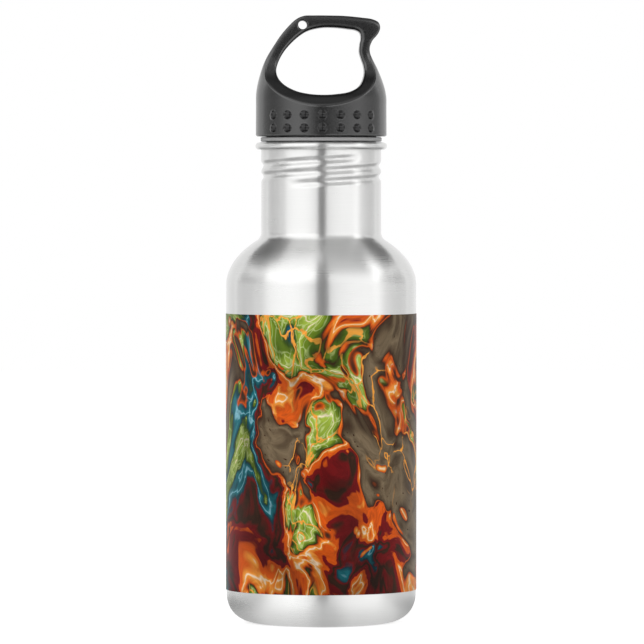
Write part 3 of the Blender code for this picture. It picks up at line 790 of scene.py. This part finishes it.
def cap_mesh():
    """Both faces, the walls that join them round the hole and the loop, and the hollow underneath."""
    angle = cap_angles()
    front = cap_sheet(-1, angle, SHEET_ROWS)
    back = cap_sheet(1, angle, SHEET_ROWS)
    rows, columns = front.shape[:2]
    faces = [grid_faces(rows, columns, False, True)]
    faces.append(grid_faces(rows, columns, False, True)[:, ::-1] + rows * columns)
    points = [front.reshape(-1, 3), back.reshape(-1, 3)]
    count = 2 * rows * columns

    share = np.linspace(0, 1, WALL_ROWS)[:, None, None]
    hole_wall = back[0] * (1 - share) + front[0] * share
    points.append(hole_wall.reshape(-1, 3))
    faces.append(grid_faces(WALL_ROWS, columns, False, True) + count)
    count += WALL_ROWS * columns

    upper = np.arange(BOTTOM_RAYS, columns + 1) % columns
    outer_wall = front[-1, upper] * (1 - share) + back[-1, upper] * share
    points.append(outer_wall.reshape(-1, 3))
    faces.append(grid_faces(WALL_ROWS, len(upper), False, False) + count)
    count += WALL_ROWS * len(upper)

    lower = np.arange(BOTTOM_RAYS + 1)
    ring = np.vstack([front[-1, lower], back[-1, lower[-2:0:-1]]])
    bearing = np.arctan2(ring[:, 1], ring[:, 0])[None, :]
    flange_seat = CAP_BASE + FLANGE_HEIGHT + FLANGE_PLAY
    cavity_top = CAP_BASE + CAVITY_HEIGHT
    profile = np.array([
        [np.hypot(ring[0, 0], ring[0, 1]), CAP_BASE], [FLANGE_BORE + FLANGE_EDGE, CAP_BASE],
        [FLANGE_BORE, CAP_BASE + FLANGE_EDGE], [FLANGE_BORE, flange_seat], [CAVITY_RADIUS, flange_seat],
        [CAVITY_RADIUS, cavity_top], [0, cavity_top],
    ])
    radius, height = profile[:, :1], profile[:, 1:]
    hollow = np.stack([radius * np.cos(bearing), radius * np.sin(bearing), height + 0 * bearing], 2)
    points.append(hollow.reshape(-1, 3))
    faces.append(grid_faces(len(profile), len(ring), False, True) + count)
    return np.vstack(points), np.vstack(faces)


def lanyard_cutter():
    """A round bar along Y that flares near both faces of the loop, to cut the lanyard's chamfered hole."""
    z = cap_high[2] - LANYARD_PLACE[1]
    past = 3 * LANYARD_CHAMFER
    end = LOOP_HALF + past
    flare = LANYARD_RADIUS + LANYARD_CHAMFER + past
    half = [[LOOP_HALF - LANYARD_CHAMFER, LANYARD_RADIUS], [end, flare], [end, 0]]
    profile = np.array([[-y, r] for y, r in half[::-1]] + half)
    angle = np.linspace(0, 2 * np.pi, LANYARD_COLUMNS, endpoint=False)[None, :]
    y, radius = profile[:, :1] + 0 * angle, profile[:, 1:]
    points = np.stack([LANYARD_PLACE[0] + radius * np.cos(angle), y, z + radius * np.sin(angle)], 2)
    faces = grid_faces(len(profile), LANYARD_COLUMNS, False, True)
    return make_piece("lanyard_cutter", points, faces, merge=MERGE)


def nub_balls():
    """A ball for each nub of both grip patches, sunk in the skirt until it stands out by a nub's height."""
    ball_radius = (NUB_RADIUS**2 + NUB_HEIGHT**2) / (2 * NUB_HEIGHT)
    ball = turn_profile(arc((0, 0), ball_radius, np.pi / 2, -np.pi, BALL_ROWS), BALL_COLUMNS)
    columns = (np.arange(NUB_COLUMNS) - (NUB_COLUMNS - 1) / 2) * NUB_PITCH
    points = []
    for bearing in np.concatenate([columns - np.pi / 2, columns + np.pi / 2]):
        for row in NUB_ROWS:
            reach = skirt_width(CAP_BASE + row) + NUB_HEIGHT - ball_radius
            points.append(ball + [reach * np.cos(bearing), reach * np.sin(bearing), CAP_BASE + row])
    faces = grid_faces(*ball.shape[:2], False, True)
    count = ball.size // 3
    faces = np.concatenate([faces + count * index for index in range(len(points))])
    balls = make_piece("nub_balls", np.stack(points), faces, merge=MERGE)
    # Painted shade: the nubs get a copy of the cap's plastic with much less shine than the cap's, so they
    # read as darker discs than the skirt round them.
    balls.data.materials.append(grained(
        "nub_plastic_painted_shade", PLASTIC_COLOUR, roughness=0.16, grain_scale=2200, grain_depth=0.002 * MM,
        lighter=1.12, shine=0.36,
    ))
    return balls


def combine(piece, other, operation):
    """Cut another mesh out of a piece, or join it on, and drop the other."""
    change = piece.modifiers.new("change", "BOOLEAN")
    change.operation = operation
    change.object = other
    change.material_mode = "TRANSFER"
    bpy.context.view_layer.update()
    evaluated = piece.evaluated_get(bpy.context.evaluated_depsgraph_get())
    mesh = bpy.data.meshes.new_from_object(evaluated)
    piece.modifiers.clear()
    piece.data = mesh
    bpy.data.objects.remove(other, do_unlink=True)


def outwards(piece):
    """Turn every face of a closed mesh outwards."""
    body = bmesh.new()
    body.from_mesh(piece.data)
    bmesh.ops.recalc_face_normals(body, faces=body.faces)
    body.to_mesh(piece.data)
    body.free()


cap = make_piece("loop_cap", *cap_mesh(), merge=2 * MERGE)
cap.data.materials.append(grained(
    "cap_plastic", PLASTIC_COLOUR, roughness=0.22, grain_scale=2200, grain_depth=0.004 * MM, lighter=1.12,
    shine=0.9,
))
outwards(cap)
for other, operation in ((lanyard_cutter(), "DIFFERENCE"), (nub_balls(), "UNION")):
    outwards(other)
    combine(cap, other, operation)
cap.data.shade_smooth()
cap.data.set_sharp_from_angle(angle=SHARP_ANGLE)
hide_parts("cap_shell")
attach(cap, "cap")

# Studio
# A white room: a pale floor that keeps the shadow, two soft lamps for the matt pieces, and curved
# cards that only reflections see. They are bright left and right of the camera, dark in between.

FLOOR_HALF = 3.0
LAMP_DISTANCE = 1.6
CARD_DISTANCE = 1.9
MIDDLE = cap_high[2] / 2
FLOOR_GLOW = 0.62
FULL_GLOW_FROM = 0.7
FLAG_REACH = 45 * MM
FLAG_FRONT = -34 * MM
FLAG_BACK = 90 * MM
FLAG_RISE = 40 * MM
FLAG_GRADED_TO = 6 * MM
FLAG_GLOW = (0.6, 0.16)
TABLE_COLUMNS = 49
TABLE_RADII = (0.02, 0.04, 0.06, 0.08, 0.1, 0.12)
TABLE_GLOW = 1.47


def floor_material():
    """A pale matt floor that also glows to the camera, so that it meets the white background."""
    made, tree, shader, _ = start_material("pale_floor")
    seen = add_node(tree, "LightPath").outputs["Is Camera Ray"]
    feed(tree, shader, {
        "Base Color": (0.8, 0.8, 0.8, 1),
        "Roughness": 0.9,
        "Specular IOR Level": 0,
        "Emission Color": (1, 1, 1, 1),
        "Emission Strength": maths(tree, "MULTIPLY", seen, FLOOR_GLOW),
    })
    return made


corners = np.array([[-1, -1, 0], [1, -1, 0], [1, 1, 0], [-1, 1, 0]]) * FLOOR_HALF
floor = make_piece("studio_floor", corners, np.array([[0, 1, 2, 3]]))
floor.data.materials.append(floor_material())
floor.visible_glossy = False


def start_glow(name):
    """An empty material for a piece that only glows, and its node tree."""
    made = bpy.data.materials.new(name)
    made.use_nodes = True
    made.node_tree.nodes.clear()
    return made, made.node_tree


def read_shares(piece, tree, shares):
    """Store a pair of shares at each corner of each face, and return the outputs that read them."""
    layer = piece.data.uv_layers.new(name="along")
    layer.uv.foreach_set("vector", shares.astype(np.float32).ravel())
    along = add_node(tree, "UVMap", uv_map="along")
    return add_node(tree, "SeparateXYZ", {"Vector": along.outputs["UV"]}).outputs


def light_up(piece, made, colour, strength):
    """Finish a glowing material and give it to a piece that only reflections see."""
    glow = add_node(made.node_tree, "Emission", {"Color": colour, "Strength": strength})
    add_node(made.node_tree, "OutputMaterial", {"Surface": glow.outputs[0]})
    piece.data.materials.append(made)
    piece.visible_camera = False
    piece.visible_diffuse = False
    piece.visible_shadow = False


def card(name, azimuths, elevations, stops, low=1.0, nearer=0.0, arch=False):
    """A glowing part of a sphere round the bottle, between two azimuths from the front and two elevations.

    The stops are (share of the way between the azimuths, brightness), and the lower edge's brightness
    is the low share of that. An arch runs up from the front and over the top instead, of even width.
    """
    columns, rows = 25, 13
    distance = CARD_DISTANCE - nearer
    azimuth = np.radians(np.linspace(*azimuths, columns))[None, :]
    rise = np.radians(np.linspace(*elevations, rows))[:, None]
    x = distance * np.sin(azimuth) * (1 if arch else np.cos(rise))
    y = -distance * np.cos(rise) * np.cos(azimuth)
    z = MIDDLE + distance * np.sin(rise) * (np.cos(azimuth) if arch else 1)
    faces = grid_faces(rows, columns, False, False)
    piece = make_piece(name, np.stack(np.broadcast_arrays(x, y, z), 2), faces)
    made, tree = start_glow(name)
    shares = np.stack([faces % columns / (columns - 1), faces // columns / (rows - 1)], 2)
    along = read_shares(piece, tree, shares)
    top = max(value for share, value in stops)
    colour = ramp(tree, along["X"], [(share, value / top) for share, value in stops])
    light_up(piece, made, colour, spread(tree, along["Y"], (0.0, FULL_GLOW_FROM), (low * top, top)))


card("front_gap", (-7.1, 8.1), (-40, 38), [(0, 0.4)])
card("gap_above", (-5, 5), (38, 71), [(0, 0.35)], nearer=0.15, arch=True)
left_stops = [(0, 1.9), (0.25, 1.9), (0.5, 1.8), (0.71, 1.95), (0.87, 2.1), (1, 2.15)]
card("left_light", (-84, -7.1), (-40, 38), left_stops, low=0.45)
card("left_light_above", (-88, 3), (38, 88), [(0, 1.2), (0.25, 1.48)])
card("left_far", (-112, -84), (-40, 32), [(0, 2.1), (0.35, 2.5), (1, 2.3)], low=0.3)
card("right_light", (8.1, 60), (-40, 28), [(0, 2.35), (0.25, 2.5), (0.53, 2.45), (1, 2.1)], low=0.45)
card("right_strip", (60, 82), (-40, 28), [(0, 2.0), (1, 2.15)], low=0.45, nearer=0.1)
card("right_strip_above", (74, 94), (28, 50), [(0, 1.7), (0.4, 2.1), (1, 2.1)], nearer=0.1)
card("right_far", (82, 112), (-40, 32), [(0, 1.9), (0.65, 2.3), (1, 2.0)], low=0.3)
card("right_ceiling", (3, 112), (28, 86), [(0, 0.74), (0.4, 0.7), (1, 0.55)])
card("back_dark_right", (112, 180), (31, 53), [(0, 0.3), (0.25, 0.05)])
card("back_dark_left", (180, 266), (32, 61), [(0.7, 0.05), (1, 0.35)])
ceiling_stops = [(0, 0.66), (0.45, 0.66), (0.55, 0.86), (1, 0.9)]
card("back_ceiling", (80, 272), (45, 88), ceiling_stops, low=0.45, nearer=-0.1)
card("back_level", (112, 248), (-14, 32), [(0, 1.75), (0.15, 1.0), (0.85, 1.0), (1, 1.75)])
card("back_low", (95, 265), (-40, -14), [(0, 0.42)])
card("below", (-180, 180), (-89, -40), [(0, 0.12)])
LEVEL_REACH = 125
LEVEL_STOPS = (
    (-125, 0.76), (-109, 0.55), (-95, 0.46), (-83, 0.62), (-72, 0.96), (-62, 1.28), (-52, 1.5),
    (-42, 1.62), (-32, 1.45), (-23, 1.12), (-15, 0.6), (-7, 0.2), (0, 0.13), (6, 0.14), (12, 0.26),
    (21, 0.4), (30, 0.55), (39, 0.8), (48, 1.0), (58, 1.18), (69, 1.28), (80, 1.04), (92, 0.8),
    (105, 0.65), (125, 0.74),
)
level_stops = [((azimuth + LEVEL_REACH) / (2 * LEVEL_REACH), value) for azimuth, value in LEVEL_STOPS]
card("level_band", (-LEVEL_REACH, LEVEL_REACH), (-4, 12.5), level_stops, nearer=0.2)
card("left_side_dark", (-122, -74), (12.5, 24), [(0, 0.8), (0.3, 0.5), (0.7, 0.5), (1, 0.9)], nearer=0.2)
card("right_side_dark", (76, 122), (12.5, 24), [(0, 0.9), (0.3, 0.5), (0.7, 0.5), (1, 0.8)], nearer=0.2)


def flag_above():
    """A small dim sheet over the loop that keeps the scoop's floor dark, with its front part graded."""
    x, y = FLAG_REACH * np.array([-1, 1, 1, -1]), np.array([FLAG_FRONT, FLAG_FRONT, FLAG_BACK, FLAG_BACK])
    points = np.stack([x, y, np.full(4, cap_high[2] + FLAG_RISE)], 1)
    piece = make_piece("flag_above", points, np.array([[0, 1, 2, 3]]))
    made, tree = start_glow("flag_above")
    place = add_node(tree, "SeparateXYZ", {"Vector": add_node(tree, "TexCoord").outputs["Object"]})
    graded = spread(tree, place.outputs["Y"], (FLAG_FRONT, FLAG_GRADED_TO), FLAG_GLOW)
    light_up(piece, made, (1, 1, 1, 1), graded)


flag_above()


def table_rings():
    """Points of flat rings round the foot, just below it, and the quads between them.

    Each corner's shares are how far round it is, from the front, and how far out.
    """
    bearing = np.linspace(0, 2 * np.pi, TABLE_COLUMNS)[None, :]
    radius = np.array(TABLE_RADII)[:, None]
    height = np.full((len(TABLE_RADII), TABLE_COLUMNS), -0.5 * MM)
    points = np.stack([radius * np.sin(bearing), -radius * np.cos(bearing), height], 2)
    faces = grid_faces(len(TABLE_RADII), TABLE_COLUMNS, False, False)
    round_share = faces % TABLE_COLUMNS / (TABLE_COLUMNS - 1)
    out_share = faces // TABLE_COLUMNS / (len(TABLE_RADII) - 1)
    return points, faces, np.stack([round_share, out_share], 2)


table_points, table_faces, table_shares = table_rings()
table = make_piece("table_glow", table_points, table_faces)
made, tree = start_glow("table_glow")
along = read_shares(table, tree, table_shares)
around = ramp(tree, along["X"], [
    (0, 0.6), (0.025, 0.66), (0.06, 0.97), (0.12, 1.0), (0.175, 0.84), (0.22, 0.5), (0.28, 0.33), (0.5, 0.28),
    (0.7, 0.3), (0.77, 0.36), (0.82, 0.53), (0.87, 0.95), (0.92, 1.08), (0.96, 1.0), (0.98, 0.75), (1, 0.6),
])
outer_stops = [(0, 0.55), (0.2, 0.78), (0.4, 0.97), (0.6, 0.97), (0.8, 0.8), (1, 0.4)]
near_share = ramp(tree, along["Y"], [(0.05, 0.5), (0.3, 1.0)])
around = mix_colour(tree, near_share, (0.9, 0.9, 0.9), around)
table_light = mix_colour(tree, 1.0, around, ramp(tree, along["Y"], outer_stops), "MULTIPLY")
light_up(table, made, table_light, TABLE_GLOW)


def lamp(name, azimuth, elevation, size, power):
    """A square soft lamp that faces the bottle and lights the matt pieces; reflections see the cards."""
    light = bpy.data.lights.new(name, "AREA")
    light.size = size
    light.energy = power
    item = bpy.data.objects.new(name, light)
    azimuth, elevation = math.radians(azimuth), math.radians(elevation)
    level = math.cos(elevation)
    away = Vector((level * math.sin(azimuth), -level * math.cos(azimuth), math.sin(elevation)))
    item.location = away * LAMP_DISTANCE + Vector((0, 0, MIDDLE))
    item.rotation_euler = away.to_track_quat("Z", "Y").to_euler()
    item.visible_glossy = False
    bpy.context.scene.collection.objects.link(item)


lamp("left_lamp", azimuth=-40, elevation=25, size=1.4, power=14)
lamp("right_lamp", azimuth=42, elevation=15, size=1.4, power=10)

world = bpy.data.worlds.new("white_room")
bpy.context.scene.world = world
world.use_nodes = True
tree = world.node_tree
tree.nodes.clear()
path = add_node(tree, "LightPath").outputs
seen = maths(tree, "MAXIMUM", path["Is Camera Ray"], path["Is Glossy Ray"])
seen = maths(tree, "MAXIMUM", seen, path["Is Transmission Ray"])
plain = add_node(tree, "Background", {"Color": (1, 1, 1, 1), "Strength": 0.5})
white = add_node(tree, "Background", {"Color": (1, 1, 1, 1), "Strength": 1.0})
room = add_node(tree, "MixShader", {0: seen, 1: plain.outputs[0], 2: white.outputs[0]})
add_node(tree, "OutputWorld", {"Surface": room.outputs[0]})

# Camera
# A long lens at the height of the neck, turned down a little to centre the bottle.

CAMERA_DISTANCE = 2.1
CAMERA_HEIGHT = 158 * MM
CAMERA_AZIMUTH = math.radians(-1.1)
AIM = Vector((0.3 * MM, 0, 111.1 * MM))
FRAME_WIDTH = 237.5 * MM

camera = bpy.data.cameras.new("camera")
camera.sensor_fit = "HORIZONTAL"
camera.sensor_width = 36
camera.clip_end = 50
viewer = bpy.data.objects.new("camera", camera)
camera_x = CAMERA_DISTANCE * math.sin(CAMERA_AZIMUTH)
camera_y = -CAMERA_DISTANCE * math.cos(CAMERA_AZIMUTH)
viewer.location = (camera_x, camera_y, CAMERA_HEIGHT)
sight = AIM - viewer.location
camera.lens = camera.sensor_width * sight.length / FRAME_WIDTH
viewer.rotation_euler = sight.to_track_quat("-Z", "Y").to_euler()
bpy.context.scene.collection.objects.link(viewer)
bpy.context.scene.camera = viewer
bpy.context.scene.view_settings.view_transform = "Standard"
